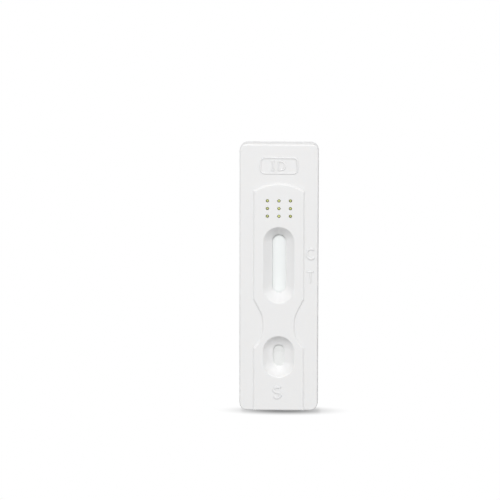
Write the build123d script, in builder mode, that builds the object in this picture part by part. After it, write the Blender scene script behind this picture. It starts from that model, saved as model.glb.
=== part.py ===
# Lateral flow test cassette: two snap-together moulded shells around a paper test strip.
# Millimetres. The case lies on its back in XY, with +Y from the sample well to the vents.
# The origin is on the surface that the case lies on, under its middle.
import os
from math import cos, radians, sin, sqrt, tan

from build123d import *

# Case outline, seen from above
case_length = 70.0
case_width = 20.4
corner_radius = 2.0

# Heights above the surface that the case lies on
case_height = 4.9
parting_height = 2.45
panel_rise = 0.4
strip_bed_height = 1.6

# Moulded walls
floor_thickness = 1.0
roof_thickness = 1.0
wall_thickness = 1.2
wall_draft = 3.0
top_edge_radius = 0.35
foot_height = 0.3
foot_inset = 0.9
parting_edge_chamfer = 0.1

# Lap joint: a tongue on the lower wall stands inside a rebate in the upper one
lap_height = 0.5
lap_thickness = 0.5
lap_clearance = 0.08

# Raised hourglass panel on the top face
panel_width = 13.3
panel_top_y = 24.8
panel_arch_radius = 11.8
waist_width = 8.5
waist_top_y = -11.8
waist_bottom_y = -13.2
shoulder_radius = 6.2
shoulder_angle = 27.0
flare_radius = 6.8
panel_edge_run = 0.4
panel_edge_round = 0.15

# Result window: a stadium mouth that slopes down to a slot over the membrane
window_centre_y = 3.4
window_straight = 11.9
window_mouth_width = 8.05
window_slot_width = 3.45
window_rim_gap = 0.3

# Sample well: a stadium bowl down to a slot over the sample pad
well_centre_y = -20.7
well_straight = 2.7
well_mouth_width = 8.1
well_slot_width = 3.0
well_bowl_sag = 0.25
well_rim_gap = 0.05

# Both openings
slot_lip_height = 0.35
funnel_wall = 0.8
mouth_round = 0.3

# Vent holes over the absorbent pad
vent_centre_y = 18.2
vent_pitch_x = 2.97
vent_pitch_y = 2.01
vent_diameter = 0.85
vent_count = 3

# Press pins under the roof and their sockets on the floor
pin_diameter = 1.6
pin_clearance = 0.05
socket_diameter = 3.2
pin_wall_gap = 0.4
pin_end_distance = 5.75
pin_rows = 3
pin_floor_gap = 0.3
socket_drop = 0.1

# Test strip
strip_end_room = 3.8
strip_width = 4.0
card_thickness = 0.3
membrane_thickness = 0.15
membrane_length = 25.0
conjugate_thickness = 0.4
conjugate_length = 7.0
conjugate_overlap = 1.0
sample_thickness = 0.8
sample_overlap = 2.0
absorbent_thickness = 1.7
absorbent_overlap = 2.0
drape_run = 0.6

# Retaining tape, over the absorbent pad and down onto the ledges
tape_length = 8.5
tape_thickness = 0.12
tape_margin = 0.5
ledge_drop = 0.8

# Strip channel on the floor
strip_clearance = 0.1
guide_thickness = 0.8
guide_stand = 0.15
bed_rib_thickness = 0.8
bed_rib_pitch = 6.0

# Ribs under the roof that hold the strip down
press_rib_thickness = 0.8
press_rib_gap = 0.05
press_rib_overhang = 0.9
press_rib_tape_gap = 1.0

# Levels and places that follow from the sizes above
panel_height = case_height + panel_rise
roof_underside = case_height - roof_thickness
panel_underside = panel_height - roof_thickness
card_top = strip_bed_height + card_thickness
membrane_top = card_top + membrane_thickness
conjugate_top = card_top + conjugate_thickness
sample_top = card_top + sample_thickness
absorbent_top = card_top + absorbent_thickness
window_rim = membrane_top + window_rim_gap
well_rim = sample_top + well_rim_gap
ledge_height = absorbent_top - ledge_drop
guide_height = membrane_top + guide_stand
strip_length = case_length - 2 * (wall_thickness + strip_end_room)
strip_end_y = strip_length / 2
membrane_start_y = window_centre_y - membrane_length / 2
membrane_end_y = window_centre_y + membrane_length / 2
conjugate_end_y = membrane_start_y + conjugate_overlap
conjugate_start_y = conjugate_end_y - conjugate_length
sample_end_y = conjugate_start_y + sample_overlap
absorbent_start_y = membrane_end_y - absorbent_overlap
channel_half_width = strip_width / 2 + strip_clearance
channel_half_length = strip_end_y + strip_clearance
tape_end_y = vent_centre_y + tape_length / 2
tape_width = (vent_count - 1) * vent_pitch_x + vent_diameter + 2 * tape_margin
socket_radius = socket_diameter / 2
pin_x = case_width / 2 - wall_thickness - pin_wall_gap - socket_radius
pin_pitch_y = (case_length - 2 * pin_end_distance) / (pin_rows - 1)
bed_rib_count = round(strip_length / bed_rib_pitch)


def case_outline(inset):
    # Rounded rectangle, a set distance inside the widest outline of the case
    smallest_corner = wall_thickness / 4
    RectangleRounded(
        case_width - 2 * inset,
        case_length - 2 * inset,
        max(corner_radius - inset, smallest_corner),
    )


def panel_outline(inset, end_y):
    # Hourglass with an arched top, square at end_y: every edge is parallel to that of the full panel.
    # A shoulder is an arc off the waist, turned by shoulder_angle, and then straight to the side.
    half = panel_width / 2 - inset
    waist = waist_width / 2 - inset
    arch = panel_arch_radius - inset
    arch_centre_y = panel_top_y - panel_arch_radius
    arch_end_y = arch_centre_y + sqrt(arch**2 - half**2)
    spread = half - waist
    shoulder = shoulder_radius + inset
    flare = flare_radius + inset
    turn = radians(shoulder_angle)
    bend_x = waist + shoulder * (1 - cos(turn))
    bend_y = waist_top_y + shoulder * sin(turn)
    shoulder_y = bend_y + (half - bend_x) / tan(turn)
    flare_y = waist_bottom_y - sqrt(flare**2 - (flare - spread) ** 2)
    with BuildSketch() as outline:
        with BuildLine():
            TangentArc((0, arch_centre_y + arch), (half, arch_end_y), tangent=(1, 0))
            Line((half, arch_end_y), (half, shoulder_y))
            Line((half, shoulder_y), (bend_x, bend_y))
            TangentArc((waist, waist_top_y), (bend_x, bend_y), tangent=(0, 1))
            Line((waist, waist_top_y), (waist, waist_bottom_y))
            TangentArc((waist, waist_bottom_y), (half, flare_y), tangent=(0, -1))
            Line((half, flare_y), (half, end_y))
            Line((half, end_y), (0, end_y))
            mirror(about=Plane.YZ)
        make_face()
    return outline.sketch


def funnel(straight, mouth_width, mouth_z, slot_width, slot_z, centre_y):
    # Stadium at mouth_z, narrowing in a straight slope to a stadium at slot_z
    with BuildPart() as cone:
        for width, z in ((mouth_width, mouth_z), (slot_width, slot_z)):
            with BuildSketch(Plane.XY.offset(z)):
                with Locations((0, centre_y)):
                    SlotCenterToCenter(straight, width, rotation=90)
        loft(ruled=True)
    return cone.part


def bowl(straight, mouth_width, mouth_z, slot_width, slot_z, centre_y, sag):
    # The same with a hollow slope: its section is turned at each end and run between them
    mouth_edge = (mouth_width / 2, mouth_z)
    slot_edge = (slot_width / 2, slot_z)
    with BuildPart() as dish:
        for end_y in (centre_y - straight / 2, centre_y + straight / 2):
            with BuildSketch(Plane.XZ.offset(-end_y)):
                with BuildLine():
                    SagittaArc(mouth_edge, slot_edge, sag)
                    Polyline(slot_edge, (0, slot_z), (0, mouth_z), mouth_edge)
                make_face()
            revolve(axis=Axis((0, end_y, 0), (0, 0, 1)))
        with BuildSketch(Plane.XZ.offset(-centre_y - straight / 2)):
            with BuildLine():
                Line((0, mouth_z), mouth_edge)
                SagittaArc(mouth_edge, slot_edge, sag)
                Line(slot_edge, (0, slot_z))
                mirror(about=Plane.YZ)
            make_face()
        extrude(amount=straight)
    return dish.part


def slot(straight, width, low_z, high_z, centre_y):
    # Upright stadium between two levels
    with BuildPart() as hole:
        with BuildSketch(Plane.XY.offset(low_z)):
            with Locations((0, centre_y)):
                SlotCenterToCenter(straight, width, rotation=90)
        extrude(amount=high_z - low_z)
    return hole.part


# Openings, and the walls under the roof that carry them down to the strip
skin_top = (roof_underside + case_height) / 2
window_lip_top = window_rim + slot_lip_height
well_lip_top = well_rim + slot_lip_height
window_space = funnel(
    window_straight,
    window_mouth_width,
    panel_height,
    window_slot_width,
    window_lip_top,
    window_centre_y,
)
window_skin = funnel(
    window_straight,
    window_mouth_width + 2 * funnel_wall,
    panel_height,
    window_slot_width + 2 * funnel_wall,
    window_lip_top,
    window_centre_y,
)
window_slot = slot(
    window_straight, window_slot_width, window_rim, window_lip_top, window_centre_y
)
window_rim_wall = slot(
    window_straight,
    window_slot_width + 2 * funnel_wall,
    window_rim,
    window_lip_top,
    window_centre_y,
)
well_space = bowl(
    well_straight,
    well_mouth_width,
    panel_height,
    well_slot_width,
    well_lip_top,
    well_centre_y,
    well_bowl_sag,
)
well_skin = funnel(
    well_straight,
    well_mouth_width + 2 * funnel_wall,
    skin_top,
    well_slot_width + 2 * funnel_wall,
    well_lip_top,
    well_centre_y,
)
well_slot = slot(well_straight, well_slot_width, well_rim, well_lip_top, well_centre_y)
well_rim_wall = slot(
    well_straight,
    well_slot_width + 2 * funnel_wall,
    well_rim,
    well_lip_top,
    well_centre_y,
)

# Raised panel: sloping sides all round, and its open end is rounded off with the case's end wall
with BuildPart() as raised_panel:
    past_end_y = -case_length / 2 - corner_radius
    for inset, z in ((0, case_height), (panel_edge_run, panel_height)):
        with BuildSketch(Plane.XY.offset(z)):
            add(panel_outline(inset, past_end_y))
    loft(ruled=True)
    with BuildSketch(Plane.XY.offset(roof_underside)):
        add(panel_outline(0, past_end_y))
    extrude(amount=roof_thickness)
    panel_top_face = raised_panel.faces().sort_by(Axis.Z)[-1]
    fillet(panel_top_face.edges(), radius=panel_edge_round)

with BuildPart() as case_envelope:
    with BuildSketch(Plane.XY.offset(parting_height)):
        case_outline(0)
    extrude(amount=panel_height - parting_height, taper=wall_draft)
    fillet(case_envelope.faces().sort_by(Axis.Z)[-1].edges(), radius=top_edge_radius)

with BuildPart() as top_shell:
    # Outside: drafted block with rounded top edges, and the panel on it
    with BuildSketch(Plane.XY.offset(parting_height)):
        case_outline(0)
    extrude(amount=case_height - parting_height, taper=wall_draft)
    fillet(top_shell.faces().sort_by(Axis.Z)[-1].edges(), radius=top_edge_radius)
    chamfer(
        top_shell.faces().sort_by(Axis.Z)[0].edges(), length=parting_edge_chamfer
    )
    add(raised_panel.part & case_envelope.part)

    # Inside: hollow under the roof, and cored out again under the raised panel
    with BuildSketch(Plane.XY.offset(parting_height)):
        case_outline(wall_thickness)
    extrude(
        amount=roof_underside - parting_height, taper=wall_draft, mode=Mode.SUBTRACT
    )
    with BuildSketch(Plane.XY.offset(roof_underside)):
        add(panel_outline(wall_thickness, -case_length / 2 + 2 * wall_thickness))
    extrude(amount=panel_rise, mode=Mode.SUBTRACT)

    # Rebate for the tongue of the bottom shell
    with BuildSketch(Plane.XY.offset(parting_height)):
        case_outline(wall_thickness - lap_thickness - lap_clearance)
    extrude(amount=lap_height + lap_clearance, mode=Mode.SUBTRACT)

    # Window and well: walls first, then the spaces through them
    add(window_skin)
    add(window_rim_wall)
    add(well_skin)
    add(well_rim_wall)
    add(window_space, mode=Mode.SUBTRACT)
    add(window_slot, mode=Mode.SUBTRACT)
    add(well_space, mode=Mode.SUBTRACT)
    add(well_slot, mode=Mode.SUBTRACT)
    panel_top = top_shell.faces().sort_by(Axis.Z)[-1]
    fillet(panel_top.inner_wires().edges(), radius=mouth_round)

    # Vents
    with BuildSketch(Plane.XY.offset(panel_height)):
        with Locations((0, vent_centre_y)):
            with GridLocations(vent_pitch_x, vent_pitch_y, vent_count, vent_count):
                Circle(vent_diameter / 2)
    extrude(amount=-roof_thickness, mode=Mode.SUBTRACT)

    # Pins
    with BuildSketch(Plane.XY.offset(floor_thickness + pin_floor_gap)):
        with GridLocations(2 * pin_x, pin_pitch_y, 2, pin_rows):
            Circle(pin_diameter / 2)
    extrude(amount=roof_underside - floor_thickness - pin_floor_gap)

    # Press ribs over the conjugate pad, and over the absorbent pad past the tape
    press_ribs = (
        ((sample_end_y + conjugate_end_y) / 2, conjugate_top),
        (tape_end_y + press_rib_tape_gap + press_rib_thickness / 2, absorbent_top),
    )
    for rib_y, pad_top in press_ribs:
        with BuildSketch(Plane.XY.offset(pad_top + press_rib_gap)):
            with Locations((0, rib_y)):
                Rectangle(strip_width + 2 * press_rib_overhang, press_rib_thickness)
        extrude(amount=panel_underside - pad_top - press_rib_gap)

top_shell.part.label = "top_shell"

with BuildPart() as bottom_shell:
    # Outside: the same outline, narrowing down, on a low square-cornered foot
    with BuildSketch(Plane.XY.offset(parting_height)):
        case_outline(0)
    extrude(amount=parting_height - foot_height, dir=(0, 0, -1), taper=wall_draft)
    chamfer(
        bottom_shell.faces().sort_by(Axis.Z)[-1].edges(), length=parting_edge_chamfer
    )
    with BuildSketch():
        Rectangle(case_width - 2 * foot_inset, case_length - 2 * foot_inset)
    extrude(amount=foot_height)

    # Tray, with a tongue on the inner half of its wall
    with BuildSketch(Plane.XY.offset(parting_height)):
        case_outline(wall_thickness)
    extrude(
        amount=parting_height - floor_thickness,
        dir=(0, 0, -1),
        taper=wall_draft,
        mode=Mode.SUBTRACT,
    )
    with BuildSketch(Plane.XY.offset(parting_height)):
        case_outline(wall_thickness - lap_thickness)
        with BuildSketch(mode=Mode.PRIVATE) as tray_mouth:
            case_outline(wall_thickness)
        add(tray_mouth.sketch, mode=Mode.SUBTRACT)
    extrude(amount=lap_height)

    # Channel: guide walls along the strip, stops at its ends, ledges beside the absorbent pad
    with BuildSketch(Plane.XY.offset(floor_thickness)):
        Rectangle(
            2 * (channel_half_width + guide_thickness),
            2 * (channel_half_length + guide_thickness),
        )
        Rectangle(
            2 * channel_half_width, 2 * channel_half_length, mode=Mode.SUBTRACT
        )
    extrude(amount=guide_height - floor_thickness)
    ledge_length = channel_half_length - absorbent_start_y
    ledge_width = tape_width / 2 - channel_half_width
    with BuildSketch(Plane.XY.offset(floor_thickness)):
        with Locations((0, absorbent_start_y + ledge_length / 2)):
            with GridLocations(2 * channel_half_width + ledge_width, 0, 2, 1):
                Rectangle(ledge_width, ledge_length)
    extrude(amount=ledge_height - floor_thickness)

    # Bed ribs that the strip lies on
    with BuildSketch(Plane.XY.offset(floor_thickness)):
        with GridLocations(0, bed_rib_pitch, 1, bed_rib_count):
            Rectangle(2 * channel_half_width, bed_rib_thickness)
    extrude(amount=strip_bed_height - floor_thickness)

    # Sockets for the pins
    with BuildSketch(Plane.XY.offset(floor_thickness)):
        with GridLocations(2 * pin_x, pin_pitch_y, 2, pin_rows):
            Circle(socket_radius)
            Circle(pin_diameter / 2 + pin_clearance, mode=Mode.SUBTRACT)
    extrude(amount=parting_height - socket_drop - floor_thickness)

bottom_shell.part.label = "bottom_shell"

# Backing card, which carries the whole strip
with BuildPart() as backing_card:
    with BuildSketch(Plane.XY.offset(strip_bed_height)):
        Rectangle(strip_width, strip_length)
    extrude(amount=card_thickness)

backing_card.part.label = "backing_card"

# Membrane, seen through the window
with BuildPart() as membrane:
    with BuildSketch(Plane.XY.offset(card_top)):
        with Locations((0, window_centre_y)):
            Rectangle(strip_width, membrane_length)
    extrude(amount=membrane_thickness)

membrane.part.label = "membrane"

# Conjugate pad: on the card, with its end drawn up over the membrane
with BuildPart() as conjugate_pad:
    with BuildSketch(Plane.YZ):
        Polygon(
            (conjugate_start_y, card_top),
            (membrane_start_y - drape_run, card_top),
            (membrane_start_y, membrane_top),
            (conjugate_end_y, membrane_top),
            (conjugate_end_y, membrane_top + conjugate_thickness),
            (membrane_start_y, membrane_top + conjugate_thickness),
            (membrane_start_y - drape_run, conjugate_top),
            (conjugate_start_y, conjugate_top),
            align=None,
        )
    extrude(amount=strip_width / 2, both=True)

conjugate_pad.part.label = "conjugate_pad"

# Sample pad: on the card, with its end drawn up over the conjugate pad
with BuildPart() as sample_pad:
    with BuildSketch(Plane.YZ):
        Polygon(
            (-strip_end_y, card_top),
            (conjugate_start_y - drape_run, card_top),
            (conjugate_start_y, conjugate_top),
            (sample_end_y, conjugate_top),
            (sample_end_y, conjugate_top + sample_thickness),
            (conjugate_start_y, conjugate_top + sample_thickness),
            (conjugate_start_y - drape_run, sample_top),
            (-strip_end_y, sample_top),
            align=None,
        )
    extrude(amount=strip_width / 2, both=True)

sample_pad.part.label = "sample_pad"

# Absorbent pad: level on top, pressed thinner where it lies on the membrane
with BuildPart() as absorbent_pad:
    with BuildSketch(Plane.YZ):
        Polygon(
            (absorbent_start_y, membrane_top),
            (membrane_end_y, membrane_top),
            (membrane_end_y + drape_run, card_top),
            (strip_end_y, card_top),
            (strip_end_y, absorbent_top),
            (absorbent_start_y, absorbent_top),
            align=None,
        )
    extrude(amount=strip_width / 2, both=True)

absorbent_pad.part.label = "absorbent_pad"

# Retaining tape: flat on the pad, sloping down to flat wings on the two ledges
with BuildPart() as retaining_tape:
    tape_edge = tape_width / 2
    tape_fold = strip_width / 2
    wing_fold = tape_fold + drape_run
    with BuildSketch(Plane.XZ.offset(-tape_end_y)):
        with BuildLine():
            Polyline(
                (0, absorbent_top),
                (tape_fold, absorbent_top),
                (wing_fold, ledge_height),
                (tape_edge, ledge_height),
                (tape_edge, ledge_height + tape_thickness),
                (wing_fold, ledge_height + tape_thickness),
                (tape_fold, absorbent_top + tape_thickness),
                (0, absorbent_top + tape_thickness),
            )
            mirror(about=Plane.YZ)
        make_face()
    extrude(amount=tape_length)

retaining_tape.part.label = "retaining_tape"

os.makedirs("parts", exist_ok=True)
export_step(top_shell.part, "parts/top_shell.step")
export_step(bottom_shell.part, "parts/bottom_shell.step")
export_step(backing_card.part, "parts/backing_card.step")
export_step(membrane.part, "parts/membrane.step")
export_step(conjugate_pad.part, "parts/conjugate_pad.step")
export_step(sample_pad.part, "parts/sample_pad.step")
export_step(absorbent_pad.part, "parts/absorbent_pad.step")
export_step(retaining_tape.part, "parts/retaining_tape.step")
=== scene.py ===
# Looks of a moulded lateral flow test cassette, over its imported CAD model
from math import radians

import bmesh
import bpy
import numpy as np
from mathutils import Euler, Matrix, Vector


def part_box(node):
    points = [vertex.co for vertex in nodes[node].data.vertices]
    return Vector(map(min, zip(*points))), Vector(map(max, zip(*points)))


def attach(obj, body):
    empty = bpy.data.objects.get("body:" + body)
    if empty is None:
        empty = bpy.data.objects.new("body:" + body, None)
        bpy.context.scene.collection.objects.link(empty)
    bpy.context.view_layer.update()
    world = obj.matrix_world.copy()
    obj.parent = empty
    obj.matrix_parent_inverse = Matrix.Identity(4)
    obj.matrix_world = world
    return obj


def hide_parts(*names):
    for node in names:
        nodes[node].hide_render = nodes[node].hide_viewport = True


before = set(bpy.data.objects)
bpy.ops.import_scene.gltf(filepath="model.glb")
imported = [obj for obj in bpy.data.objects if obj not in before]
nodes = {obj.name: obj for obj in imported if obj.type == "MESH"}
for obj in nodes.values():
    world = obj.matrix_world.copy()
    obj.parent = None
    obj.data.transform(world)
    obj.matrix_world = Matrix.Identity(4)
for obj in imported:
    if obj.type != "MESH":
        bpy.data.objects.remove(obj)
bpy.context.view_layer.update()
mm = 0.001


print("cad model loaded:", ", ".join(sorted(nodes)))


class Wire:
    # An output socket that can be used in sums: every operator adds one Math node
    def __init__(self, tree, socket):
        self.tree = tree
        self.socket = socket

    def math(self, operation, *values):
        return self.tree.add("ShaderNodeMath", {"operation": operation}, dict(enumerate(values)))

    def __add__(self, other):
        return self.math("ADD", self, other)

    def __radd__(self, other):
        return self.math("ADD", other, self)

    def __sub__(self, other):
        return self.math("SUBTRACT", self, other)

    def __rsub__(self, other):
        return self.math("SUBTRACT", other, self)

    def __mul__(self, other):
        return self.math("MULTIPLY", self, other)

    def __rmul__(self, other):
        return self.math("MULTIPLY", other, self)

    def __truediv__(self, other):
        return self.math("DIVIDE", self, other)

    def __rtruediv__(self, other):
        return self.math("DIVIDE", other, self)

    def most(self, other):
        return self.math("MAXIMUM", self, other)

    def root(self):
        return self.math("SQRT", self)

    def ease(self, start, end):
        # 0 at start, 1 at end, and smooth in between; start may be the larger
        return self.tree.add(
            "ShaderNodeMapRange",
            {"interpolation_type": "SMOOTHSTEP"},
            {"Value": self, "From Min": start, "From Max": end},
        )


class Tree:
    # The nodes of one material or world
    def __init__(self, owner, endKind):
        owner.use_nodes = True
        self.tree = owner.node_tree
        self.tree.nodes.clear()
        self.end = self.tree.nodes.new(endKind)

    def add(self, kind, settings=None, sockets=None, output=0):
        # Any node: its settings first, then the values or links of its sockets
        node = self.tree.nodes.new(kind)
        for key, value in (settings or {}).items():
            setattr(node, key, value)
        for socket, value in (sockets or {}).items():
            self.plug(node.inputs[socket], value)
        return Wire(self, node.outputs[output])

    def plug(self, socket, value):
        if isinstance(value, Wire):
            self.tree.links.new(value.socket, socket)
        elif isinstance(value, tuple) and socket.type == "RGBA":
            socket.default_value = (*value, 1)
        else:
            socket.default_value = value

    def finishWith(self, wire):
        self.plug(self.end.inputs["Surface"], wire)

    def rays(self, *kinds):
        # 1 for a ray of any of these kinds
        path = self.add("ShaderNodeLightPath").socket.node.outputs
        found = Wire(self, path[kinds[0]])
        for kind in kinds[1:]:
            found = found.most(Wire(self, path[kind]))
        return found

    def place(self):
        # Object coordinates in millimetres
        point = self.add("ShaderNodeTexCoord", output="Object")
        sockets = {"Vector": point, "Scale": 1 / mm}
        return self.add("ShaderNodeVectorMath", {"operation": "SCALE"}, sockets)

    def stretched(self, point, factors):
        sockets = {0: point, 1: factors}
        return self.add("ShaderNodeVectorMath", {"operation": "MULTIPLY"}, sockets)

    def noise(self, point, scale, detail=2.0, roughness=0.5, distortion=0.0):
        # Fractal noise about 0, from roughly -0.5 to 0.5
        sockets = {"Vector": point, "Scale": scale, "Detail": detail, "Roughness": roughness}
        sockets["Distortion"] = distortion
        return self.add("ShaderNodeTexNoise", None, sockets) - 0.5

    def axes(self, point):
        split = self.add("ShaderNodeSeparateXYZ", None, {"Vector": point})
        outputs = split.socket.node.outputs
        return [Wire(self, outputs[k]) for k in range(3)]

    def tint(self, factor, first, second):
        # Colour from first at 0 to second at 1; in colour mode a Mix node's colours are its
        # sockets 6 and 7, and its output 2
        settings = {"data_type": "RGBA"}
        return self.add("ShaderNodeMix", settings, {0: factor, 6: first, 7: second}, output=2)

    def mottle(self, factor, look):
        # Colour halfway between the look's tone and shade where the factor is 0
        return self.tint(factor + 0.5, look["tone"], look["shade"])

    def relief(self, height):
        # Normal of a height given in millimetres
        sockets = {"Height": height, "Distance": mm, "Strength": 1.0}
        return self.add("ShaderNodeBump", None, sockets)


class Finish(Tree):
    # One material with a Principled shader, and its settings that are the same all over
    def __init__(self, name, settings):
        self.material = bpy.data.materials.new(name)
        super().__init__(self.material, "ShaderNodeOutputMaterial")
        surface = self.add("ShaderNodeBsdfPrincipled", None, settings)
        self.finishWith(surface)
        self.shader = surface.socket.node

    def drive(self, sockets):
        # What varies over the surface, into the shader
        for name, value in sockets.items():
            self.plug(self.shader.inputs[name], value)


# In the looks below a noise is its scale per mm, its detail and, where given, its roughness. Its
# share goes into the colour, its spread into the roughness, and its depth in mm into the relief.

shellLook = {
    "tone": (0.834, 0.833, 0.834),
    "shade": (0.829, 0.827, 0.824),     # slightly warmer
    "shader": {
        "IOR": 1.5,
        "Subsurface Weight": 0.25,
        "Subsurface Radius": (1.0, 0.95, 0.9),
        "Subsurface Scale": 0.0006,
    },
    "cloud": (0.09, 3),
    "patch": (0.8, 4, 0.6),
    "patchShare": 0.3,
    "patchSpread": 0.10,
    "grain": (7.5, 4, 0.65),            # etched tool surface
    "grainSpread": 0.05,
    "grainDepth": 0.0022,
    "wave": (0.22, 1),                  # shrinkage
    "waveStretch": (1, 0.5, 1),
    "waveDepth": 0.006,
    "roughness": 0.42,
}


def shellFinish(look):
    # White moulded polystyrene: etched grain over faint shrinkage waves
    finish = Finish("whitePolystyrene", look["shader"])
    point = finish.place()
    cloud = finish.noise(point, *look["cloud"])
    patch = finish.noise(point, *look["patch"])
    grain = finish.noise(point, *look["grain"])
    wave = finish.noise(finish.stretched(point, look["waveStretch"]), *look["wave"])
    rough = patch * look["patchSpread"] + grain * look["grainSpread"] + look["roughness"]
    finish.drive({
        "Base Color": finish.mottle(cloud + patch * look["patchShare"], look),
        "Roughness": rough,
        "Normal": finish.relief(grain * look["grainDepth"] + wave * look["waveDepth"]),
    })
    return finish.material


membraneLook = {
    "tone": (0.895, 0.917, 0.912),
    "shade": (0.872, 0.896, 0.89),
    "shader": {"Specular IOR Level": 0.25, "IOR": 1.45},
    "cloud": (0.7, 3),
    "pores": (22, 5, 0.7),
    "poreShare": 0.4,
    "poreSpread": 0.15,
    "poreDepth": 0.003,
    "roughness": 0.82,
}


def membraneFinish(look):
    # Cast cellulose membrane: matt and chalky, with fine pores and a faint cool cast
    finish = Finish("celluloseMembrane", look["shader"])
    point = finish.place()
    pores = finish.noise(point, *look["pores"])
    cloud = finish.noise(point, *look["cloud"])
    finish.drive({
        "Base Color": finish.mottle(cloud + pores * look["poreShare"], look),
        "Roughness": pores * look["poreSpread"] + look["roughness"],
        "Normal": finish.relief(pores * look["poreDepth"]),
    })
    return finish.material


# What the two pads have in common
fibreLook = {
    "shader": {"Specular IOR Level": 0.2, "Sheen Weight": 0.15, "Sheen Roughness": 0.6},
    "headings": (0.3, 1.35, 2.4),       # radians, one for each layer of strands
    "strandStretch": (0.12, 1, 0.6),
    "strandNoise": (3, 0.55, 0.4),      # detail, roughness and distortion
    "strandShare": 3,
    "fluffFiner": 3,                    # times the scale of the strands
    "fluffNoise": (4, 0.7),             # detail and roughness
    "fluffShare": 0.6,
    "fluffSpread": 0.1,
    "fluffDepth": 0.2,                  # times the depth of the strands
    "paintedGapShadeToTop": (-0.2, 0.8),            # from the painted shade in the gaps to the strands' tone
    "roughness": 0.9,
}
glassFibreLook = {
    **fibreLook,
    "tone": (0.865, 0.875, 0.87),
    "shade": (0.80, 0.81, 0.80),
    "fibreScale": 9.0,
    "fibreDepth": 0.016,
}
blotterLook = {
    **fibreLook,
    "tone": (0.86, 0.86, 0.83),
    "shade": (0.78, 0.775, 0.74),
    "fibreScale": 3.2,
    "fibreDepth": 0.03,
}


def strandHeight(finish, point, look):
    # The highest, at each place, of layers of long thin noise that are turned to their headings
    highest = None
    for heading in look["headings"]:
        sockets = {"Vector": point, "Rotation": (0, 0, heading)}
        turned = finish.add("ShaderNodeMapping", {"vector_type": "POINT"}, sockets)
        long = finish.stretched(turned, look["strandStretch"])
        layer = finish.noise(long, look["fibreScale"], *look["strandNoise"])
        highest = highest.most(layer) if highest else layer
    return highest


def padFinish(name, look):
    # Pressed fibre: crossing strands, with the gaps between them painted darker as their shade
    finish = Finish(name, look["shader"])
    point = finish.place()
    strands = strandHeight(finish, point, look)
    fluff = finish.noise(point, look["fibreScale"] * look["fluffFiner"], *look["fluffNoise"])
    height = strands * look["fibreDepth"] + fluff * look["fibreDepth"] * look["fluffDepth"]
    # Colour follows the height: the lower gaps get the darker tone, a painted shade
    tone = (strands * look["strandShare"] + fluff * look["fluffShare"]).ease(*look["paintedGapShadeToTop"])
    finish.drive({
        "Base Color": finish.tint(tone, look["shade"], look["tone"]),
        "Roughness": fluff * look["fluffSpread"] + look["roughness"],
        "Normal": finish.relief(height),
    })
    return finish.material


cardLook = {
    "tone": (0.86, 0.86, 0.86),
    "shade": (0.83, 0.83, 0.835),
    "shader": {"IOR": 1.57},
    "cloud": (0.3, 2),
    "lines": (1.0, 3),
    "lineStretch": (9, 0.15, 9),
    "lineShare": 0.3,
    "lineSpread": 0.12,
    "lineDepth": 0.002,
    "roughness": 0.35,
}


def cardFinish(look):
    # Calendered polyester card: smooth, with fine lines along its length from the rollers
    finish = Finish("polyesterCard", look["shader"])
    point = finish.place()
    lines = finish.noise(finish.stretched(point, look["lineStretch"]), *look["lines"])
    cloud = finish.noise(point, *look["cloud"])
    finish.drive({
        "Base Color": finish.mottle(cloud + lines * look["lineShare"], look),
        "Roughness": lines * look["lineSpread"] + look["roughness"],
        "Normal": finish.relief(lines * look["lineDepth"]),
    })
    return finish.material


tapeLook = {
    "tone": (0.72, 0.76, 0.28),
    "shade": (0.64, 0.67, 0.24),
    "shader": {"IOR": 1.47},
    "cloud": (0.5, 3),
    "creases": (1.0, 3, 0.6),
    "creaseStretch": (0.3, 3, 1),
    "creaseShare": 0.5,
    "creaseSpread": 0.15,
    "creaseDepth": 0.01,
    "roughness": 0.3,
}


def tapeFinish(look):
    # Olive film tape: glossy, a little uneven in colour, with fine cross creases
    finish = Finish("oliveTape", look["shader"])
    point = finish.place()
    cloud = finish.noise(point, *look["cloud"])
    creases = finish.noise(finish.stretched(point, look["creaseStretch"]), *look["creases"])
    finish.drive({
        "Base Color": finish.mottle(cloud + creases * look["creaseShare"], look),
        "Roughness": creases * look["creaseSpread"] + look["roughness"],
        "Normal": finish.relief(creases * look["creaseDepth"]),
    })
    return finish.material


finishes = {
    "shell": shellFinish(shellLook),
    "card": cardFinish(cardLook),
    "membrane": membraneFinish(membraneLook),
    "fibre": padFinish("glassFibrePad", glassFibreLook),
    "blotter": padFinish("blottingPad", blotterLook),
    "tape": tapeFinish(tapeLook),
}
finishOfNode = {
    "top_shell": "shell",
    "bottom_shell": "shell",
    "backing_card": "card",
    "membrane": "membrane",
    "conjugate_pad": "fibre",
    "sample_pad": "fibre",
    "absorbent_pad": "blotter",
    "retaining_tape": "tape",
}
for nodeName, finishName in finishOfNode.items():
    for slot in nodes[nodeName].material_slots:
        slot.material = finishes[finishName]
print("finishes on", len(finishOfNode), "cad nodes")


def smoothPiece(name, mesh, finish):
    # An object of a finished mesh, shaded smooth
    mesh.polygons.foreach_set("use_smooth", np.ones(len(mesh.polygons), bool))
    mesh.materials.append(finishes[finish])
    piece = bpy.data.objects.new(name, mesh)
    bpy.context.scene.collection.objects.link(piece)
    return piece


# Two soft layers of the strip take the place of their plain solids, with their sizes in mm

sheetCrease = radians(50)      # edges of a sheet that turn by more than this stay sharp


def pointsAlong(low, high, middles, reach, fine, coarse):
    # Even points from low to high, and finer ones within reach of each middle
    steps = (coarse, fine)
    even, close = [np.linspace(low, high, int((high - low) / step) + 1) for step in steps]
    evenAway, closeAway = [np.abs(points[:, None] - middles).min(1) for points in (even, close)]
    return np.unique(np.r_[low, even[evenAway > reach + fine], close[closeAway <= reach], high])


def easedStep(value, start, end):
    # 0 at start, 1 at end, and 3t^2 - 2t^3 in between
    t = np.clip((value - start) / (end - start), 0, 1)
    return t * t * (3 - 2 * t)


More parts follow.
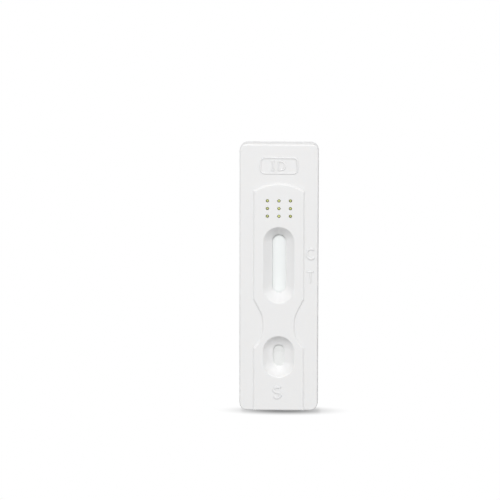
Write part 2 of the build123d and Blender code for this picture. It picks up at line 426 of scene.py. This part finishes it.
def sheetPiece(name, x, y, top, bottom, finish, node):
    # Closed sheet over the grid x, y: its upper side at height top(x, y), its lower side at
    # bottom(x, y), and a wall round the grid's edge between them
    rows, columns = x.shape
    index = np.arange(rows * columns).reshape(rows, columns)
    cells = np.stack([index[:-1, :-1], index[:-1, 1:], index[1:, 1:], index[1:, :-1]], -1)
    cells = cells.reshape(-1, 4)
    edge = np.r_[index[0, :-1], index[:-1, -1], index[-1, :0:-1], index[:0:-1, 0]]
    after, below = np.roll(edge, -1), rows * columns
    wall = np.stack([edge, edge + below, after + below, after], -1)
    faces = np.vstack([cells, cells[:, ::-1] + below, wall])
    vertices = np.vstack([np.stack([x, y, z], -1).reshape(-1, 3) for z in (top, bottom)])
    mesh = bpy.data.meshes.new(name)
    mesh.from_pydata((vertices * mm).tolist(), [], faces.tolist())
    piece = smoothPiece(name, mesh, finish)
    mesh.set_sharp_from_angle(angle=sheetCrease)
    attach(piece, "root")
    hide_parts(node)
    return piece


filmLook = {
    "thickness": 0.12,
    "foldRun": 0.6,            # width of the slope down to a ledge
    "ventMiddle": (0.0, 18.2),
    "ventPitch": (2.97, 2.01),
    "bulgeTop": 5.03,          # height that the film is pressed up to in a vent
    "middleExtra": 0.22,       # and how much higher in the middle column
    "bulgeRadii": (0.22, 0.54),
    "steps": (0.05, 0.4),      # between points near a vent and elsewhere
}


def makeVentFilm(look):
    # Film over the blotting pad. Its top is level on the pad and slopes down to the ledges beside
    # it, and at a distance r from the nearest vent it is lifted by (bulge - level) * (1 - step(r)).
    low, high = np.array(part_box("retaining_tape")) / mm
    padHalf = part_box("absorbent_pad")[1][0] / mm
    (middleX, middleY), (pitchX, pitchY) = look["ventMiddle"], look["ventPitch"]
    inner, outer = look["bulgeRadii"]
    three = np.arange(-1, 2)
    alongX = pointsAlong(low[0], high[0], middleX + pitchX * three, outer, *look["steps"])
    alongY = pointsAlong(low[1], high[1], middleY + pitchY * three, outer, *look["steps"])
    x, y = np.meshgrid(alongX, alongY)
    wing = low[2] + look["thickness"]
    down = np.clip((np.abs(x) - padHalf) / look["foldRun"], 0, 1)
    level = high[2] + (wing - high[2]) * down
    column = np.clip(np.round((x - middleX) / pitchX), -1, 1)
    row = np.clip(np.round((y - middleY) / pitchY), -1, 1)
    away = np.hypot(x - middleX - pitchX * column, y - middleY - pitchY * row)
    bulge = look["bulgeTop"] + look["middleExtra"] * (1 - np.abs(column))
    top = level + (bulge - level) * (1 - easedStep(away, inner, outer))
    bottom = top - look["thickness"]
    return sheetPiece("vent_film", x, y, top, bottom, "tape", "retaining_tape")


padShape = {
    "thickness": 0.8,
    "drape": (-15.6, -15.0),       # where it climbs onto the conjugate pad
    "wellMiddle": (0.0, -20.7),
    "wellStraight": 2.7,
    "dent": (0.12, 0.35),          # how far it is pressed in at the slot's top end, and below
    "dentRun": (-18.4, -20.2),     # where the dent deepens from one to the other
    "dentRadii": (1.5, 1.75),
    "margin": 0.1,                 # of finer points round the dent
    "steps": (0.1, 0.5),           # between points near the dent or the drape, and elsewhere
}


def makeSamplePad(look):
    # Pad under the well. Its lower side is z0 + rise * step(y) where it climbs onto the next pad,
    # and its upper side is that plus the thickness, less dent(y) * (1 - step(r)) at a distance r
    # from the line along the middle of the slot.
    low, high = np.array(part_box("sample_pad")) / mm
    middleX, middleY = look["wellMiddle"]
    half = look["wellStraight"] / 2
    inner, outer = look["dentRadii"]
    reach = outer + look["margin"]
    middles = [middleY, sum(look["drape"]) / 2]
    alongX = pointsAlong(low[0], high[0], [middleX], reach, *look["steps"])
    alongY = pointsAlong(low[1], high[1], middles, reach + half, *look["steps"])
    x, y = np.meshgrid(alongX, alongY)
    rise = high[2] - low[2] - look["thickness"]
    bottom = low[2] + rise * easedStep(y, *look["drape"])
    away = np.hypot(x - middleX, np.maximum(np.abs(y - middleY) - half, 0))
    shallow, deep = look["dent"]
    dent = shallow + (deep - shallow) * easedStep(y, *look["dentRun"])
    top = bottom + look["thickness"] - dent * (1 - easedStep(away, inner, outer))
    return sheetPiece("well_pad", x, y, top, bottom, "fibre", "sample_pad")


sheets = [makeVentFilm(filmLook), makeSamplePad(padShape)]
print("soft layers:", ", ".join(sheet.name for sheet in sheets))


# Raised marks on the flat sides of the top shell, with their sizes in mm and angles in degrees

flatTop = 4.9 * mm
panelTop = 5.3 * mm
poleSize = 0.002 * mm          # points of a ridge's end closer than this are one pole

letterLook = {
    "stroke": 0.6,
    "height": 0.19,
    "sink": 0.05,          # how far a ridge reaches down into the shell
    "roundness": 0.75,     # 1 for an oval section, less for flatter shoulders
    "around": 16,          # points round a ridge's section
    "step": 0.08,          # between sections
}
letterC = {"centre": (8.3, 6.3), "size": (2.15, 2.65), "opening": 42, "arcPoints": 60}
letterT = {"centre": (8.1, 0.17), "size": (1.75, 3.05)}
letterS = {
    "centre": (-0.34, -30.15),
    "radius": 0.72,
    "stretch": 1.24,
    "opening": 21,
    "stroke": 0.66,
    "height": 0.14,
    "arcPoints": 50,
}
sampleField = {
    "centre": (0.0, 29.3),
    "size": (9.4, 4.0),
    "corner": 1.0,
    "cornerPoints": 16,
    "stroke": 0.42,
}
fieldLetters = {
    "height": 2.3,
    "gap": 1.5,            # from the I to the D
    "bowl": 1.6,           # width of the D
    "bowlStraight": 0.3,   # part of it before the curve
    "serif": 0.5,
    "stroke": 0.5,
    "arcPoints": 30,
}


def evenPath(points, step, closed, fewest=4):
    # The same line through points, walked at equal steps of its own length
    if closed:
        points = np.vstack([points, points[:1]])
    walked = np.r_[0, np.cumsum(np.linalg.norm(np.diff(points, axis=0), axis=1))]
    count = max(int(round(walked[-1] / step)), fewest)
    at = np.linspace(0, walked[-1], count, endpoint=not closed)
    return np.c_[np.interp(at, walked, points[:, 0]), np.interp(at, walked, points[:, 1])]


def ridge(points, stroke, look, closed=False):
    # A rounded ridge: its section is a flattened oval, high above the shell and shallow below it,
    # carried along the path with its width across the path. An open ridge's ends round off, as
    # the section shrinks by the square root of 1 - t squared over the last half stroke.
    path = evenPath(np.asarray(points, float), look["step"], closed)
    ahead, behind = np.roll(path, -1, 0), np.roll(path, 1, 0)
    if not closed:
        ahead[-1], behind[0] = path[-1], path[0]
    heading = ahead - behind
    heading /= np.linalg.norm(heading, axis=1)[:, None]
    across = np.c_[heading[:, 1], -heading[:, 0]]
    shrink = np.ones(len(path))
    if not closed:
        steps = np.minimum(np.arange(len(path)), np.arange(len(path))[::-1])
        inward = np.clip(steps * look["step"] / (stroke / 2), 0, 1)
        shrink = np.sqrt(np.clip(1 - (1 - inward) ** 2, 0, 1))
    turn = np.linspace(0, 2 * np.pi, look["around"], endpoint=False)
    side = np.sign(np.cos(turn)) * np.abs(np.cos(turn)) ** look["roundness"] * stroke / 2
    rise = np.where(np.sin(turn) > 0, look["height"], look["sink"]) * np.sin(turn)
    grid = np.empty((len(path), len(turn), 3))
    grid[..., :2] = path[:, None] + across[:, None] * (side[None, :, None] * shrink[:, None, None])
    grid[..., 2] = rise[None] * shrink[:, None]
    return grid, closed


def gridFaces(rows, columns, closedRows):
    # Corners of every cell; the second direction always runs round and meets itself
    r = np.arange(rows if closedRows else rows - 1)[:, None]
    c = np.arange(columns)[None]
    nextR, nextC = (r + 1) % rows, (c + 1) % columns
    pairs = [(r, c), (nextR, c), (nextR, nextC), (r, nextC)]
    corners = [down * columns + along for down, along in pairs]
    return np.stack(np.broadcast_arrays(*corners), -1).reshape(-1, 4)


def pieceFromRidges(name, ridges, centre, base):
    # One mesh of several closed ridges, with its poles merged and its faces outwards
    vertices, faces, start = [], [], 0
    for grid, closed in ridges:
        rows, columns = grid.shape[:2]
        vertices.append(grid.reshape(-1, 3))
        faces.append(gridFaces(rows, columns, closed) + start)
        start += rows * columns
    vertices = np.vstack(vertices) * mm + np.array([centre[0] * mm, centre[1] * mm, base])
    mesh = bpy.data.meshes.new(name)
    mesh.from_pydata(vertices.tolist(), [], np.vstack(faces).tolist())
    work = bmesh.new()
    work.from_mesh(mesh)
    bmesh.ops.remove_doubles(work, verts=work.verts, dist=poleSize)
    bmesh.ops.recalc_face_normals(work, faces=work.faces)
    work.to_mesh(mesh)
    work.free()
    piece = smoothPiece(name, mesh, "shell")
    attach(piece, "root")
    return piece


def roundedBox(width, height, corner, count):
    # Rectangle with quarter circles at its corners, as points anticlockwise
    angle = np.linspace(0, np.pi / 2, count)
    middle = np.array([width / 2 - corner, height / 2 - corner])
    quarters = []
    for k, signs in enumerate(((1, 1), (-1, 1), (-1, -1), (1, -1))):
        a = angle + k * np.pi / 2
        quarters.append(middle * signs + corner * np.c_[np.cos(a), np.sin(a)])
    return np.vstack(quarters)


def makeLetterC(letter, look):
    # Part of an ellipse, open on the right
    width, height = letter["size"]
    opening = letter["opening"]
    angle = np.radians(np.linspace(opening, 360 - opening, letter["arcPoints"]))
    line = np.c_[np.cos(angle) * width / 2, np.sin(angle) * height / 2]
    lines = [ridge(line, look["stroke"], look)]
    return pieceFromRidges("zone_mark_c", lines, letter["centre"], flatTop)


def makeLetterT(letter, look):
    # A bar and a stem that starts inside it
    width, height = letter["size"]
    bar = [(-width / 2, height / 2), (width / 2, height / 2)]
    stem = [(0, height / 2), (0, -height / 2)]
    lines = [ridge(line, look["stroke"], look) for line in (bar, stem)]
    return pieceFromRidges("zone_mark_t", lines, letter["centre"], flatTop)


def makeLetterS(letter, look):
    # Two arcs of one radius that meet in the middle: the upper one runs from its opening over the
    # top and down the left, and the lower one is the same turned half round
    angle = np.radians(np.linspace(letter["opening"], 270, letter["arcPoints"]))
    upper = np.c_[np.cos(angle), np.sin(angle) + 1] * letter["radius"]
    line = np.vstack([upper, -upper[-2::-1]]) * (letter["stretch"], 1)
    lines = [ridge(line, letter["stroke"], {**look, "height": letter["height"]})]
    return pieceFromRidges("zone_mark_s", lines, letter["centre"], panelTop)


def makeSampleField(field, letters, look):
    # A plain frame for the sample's number, with I and D in its middle
    outline = roundedBox(*field["size"], field["corner"], field["cornerPoints"])
    top, gap, bowl = letters["height"] / 2, letters["gap"], letters["bowl"]
    bold, serif, straight = letters["stroke"], letters["serif"], letters["bowlStraight"]
    left = -(gap + bowl) / 2
    barX = left + gap
    angle = np.linspace(-np.pi / 2, np.pi / 2, letters["arcPoints"])
    curve = np.c_[barX + straight + np.cos(angle) * (bowl - straight), np.sin(angle) * top]
    lines = [
        ridge(outline, field["stroke"], look, closed=True),
        ridge([(left, top), (left, -top)], bold, look),
        ridge([(left - serif, top), (left + serif, top)], bold, look),
        ridge([(left - serif, -top), (left + serif, -top)], bold, look),
        ridge(np.vstack([[(barX, -top)], curve, [(barX, top)]]), bold, look, closed=True),
    ]
    return pieceFromRidges("sample_field", lines, field["centre"], flatTop)


marks = [
    makeLetterC(letterC, letterLook),
    makeLetterT(letterT, letterLook),
    makeLetterS(letterS, letterLook),
    makeSampleField(sampleField, fieldLetters, letterLook),
]
print("raised marks:", ", ".join(mark.name for mark in marks))


floorLook = {
    "size": 4.0,
    "under": 0.02,                   # mm between it and the case's foot
    "tone": 0.15,
    "backTone": 0.75,                # past the vent end
    "backFade": (20, 50),            # mm, where one turns into the other
    "paintedShadowTone": 0.58,                # grey that the camera sees in the oval: a painted shadow, with the case's real shadow over it
    "shadowMiddle": (1.2, -36.0),    # mm, of the oval where the shadow shows
    "shadowReach": (17.6, 1.4),      # mm, half width and half depth of that oval
    "shadowFade": (1.05, 0.1),       # of the reach, from no shadow to all of it
}


def floorFinish(look):
    # Pale floor that shows white to the camera, and a grey tone, a painted shadow, in a soft flat
    # oval at the sample end, where the case's real shadow also falls: it fades out where (x/a)^2 +
    # (y/b)^2 nears 1
    material = bpy.data.materials.new("paleFloor")
    floor = Tree(material, "ShaderNodeOutputMaterial")
    tone, backTone, paintedShadowTone = [(look[key],) * 3 for key in ("tone", "backTone", "paintedShadowTone")]
    x, y = floor.axes(floor.place())[:2]
    (middleX, middleY), (reachX, reachY) = look["shadowMiddle"], look["shadowReach"]
    across = (x - middleX) / reachX
    along = (y - middleY) / reachY
    shadow = (across * across + along * along).root().ease(*look["shadowFade"])
    seen = floor.rays("Is Camera Ray")
    mirrored = floor.rays("Is Glossy Ray", "Is Transmission Ray")
    lit = floor.tint(y.ease(*look["backFade"]), tone, backTone)
    settings = {
        # in the oval the camera sees the grey of the painted shadow, shaded further by the real
        # light
        "Base Color": floor.tint(seen, lit, paintedShadowTone),
        "Roughness": 1.0,
        "Specular IOR Level": 0.0,
    }
    matt = floor.add("ShaderNodeBsdfPrincipled", None, settings)
    white = floor.add("ShaderNodeEmission", None, {"Color": (1.0, 1.0, 1.0), "Strength": 1.0})
    share = (seen * (1 - shadow)).most(mirrored)
    floor.finishWith(floor.add("ShaderNodeMixShader", None, {0: share, 1: matt, 2: white}))
    return material


def makeFloor(look):
    half, under = look["size"] / 2, look["under"] * mm
    corners = [(-half, -half), (half, -half), (half, half), (-half, half)]
    mesh = bpy.data.meshes.new("floor")
    mesh.from_pydata([(x, y, -under) for x, y in corners], [], [(0, 1, 2, 3)])
    mesh.materials.append(floorFinish(look))
    floor = bpy.data.objects.new("floor", mesh)
    bpy.context.scene.collection.objects.link(floor)


lightLook = {
    "skyLevel": 0.44,
    "skyLow": 0.15,       # strength of the sky at the horizon against straight above
    "skySides": 6.2,      # how much brighter it is on the left and the right
    "skyRight": 0.35,     # how much brighter on the right than in the middle
    "skyBack": 0.27,      # and at the vent end
    "keyWatts": 13.9,
    "keyFrom": (-0.09, 0.605, 0.785),
    "keyDistance": 1.6,
    "keySize": 0.28,
}


def makeLight(look):
    # One soft lamp from the vent end, and a sky that the camera sees as white. To everything else
    # the sky's strength at a direction is level * (low + (1 - low) z) times
    # (1 + sides x^2 + right x + back y).
    lamp = bpy.data.lights.new("softbox", "AREA")
    lamp.shape = "DISK"
    lamp.size = look["keySize"]
    lamp.energy = look["keyWatts"]
    direction = Vector(look["keyFrom"]).normalized()
    holder = bpy.data.objects.new("softbox", lamp)
    holder.location = direction * look["keyDistance"]
    holder.rotation_euler = direction.to_track_quat("Z", "Y").to_euler()
    bpy.context.scene.collection.objects.link(holder)

    world = bpy.data.worlds.new("studio")
    sky = Tree(world, "ShaderNodeOutputWorld")
    x, y, z = sky.axes(sky.add("ShaderNodeTexCoord", output="Generated"))
    low = look["skyLow"]
    height = (z.most(0) * (1 - low) + low) * look["skyLevel"]
    sideways = x * x * look["skySides"] + x * look["skyRight"] + y * look["skyBack"] + 1
    level = height * sideways
    white = sky.rays("Is Camera Ray", "Is Glossy Ray", "Is Transmission Ray")
    strength = level + (1 - level) * white
    sky.finishWith(sky.add("ShaderNodeBackground", None, {"Strength": strength}))
    bpy.context.scene.world = world


cameraLook = {
    "lean": 10.5,             # degrees from straight above, towards the vent end
    "sway": 1.2,              # degrees from there, to the right
    "roll": 0.38,             # degrees
    "distance": 1.276,
    "lens": 355.4,            # mm on a 36 mm sensor
    "shift": (-0.0579, 0.0527),
    "aim": (0, 0, 2.65 * mm),
}


def makeCamera(look):
    # The camera at the photo's angle: back from its aim along its own turned and rolled axis
    lens = bpy.data.cameras.new("camera")
    lens.lens = look["lens"]
    lens.shift_x, lens.shift_y = look["shift"]
    camera = bpy.data.objects.new("camera", lens)
    angles = (-radians(look["lean"]), radians(look["sway"]), 0)
    turn = Euler(angles, "YXZ").to_matrix().to_4x4()
    roll = Matrix.Rotation(radians(look["roll"]), 4, "Z")
    back = Matrix.Translation((0, 0, look["distance"]))
    camera.matrix_world = Matrix.Translation(look["aim"]) @ turn @ roll @ back
    bpy.context.scene.collection.objects.link(camera)
    bpy.context.scene.camera = camera


makeFloor(floorLook)
makeLight(lightLook)
makeCamera(cameraLook)
bpy.context.scene.view_settings.view_transform = "Standard"
print("floor, light and camera set")
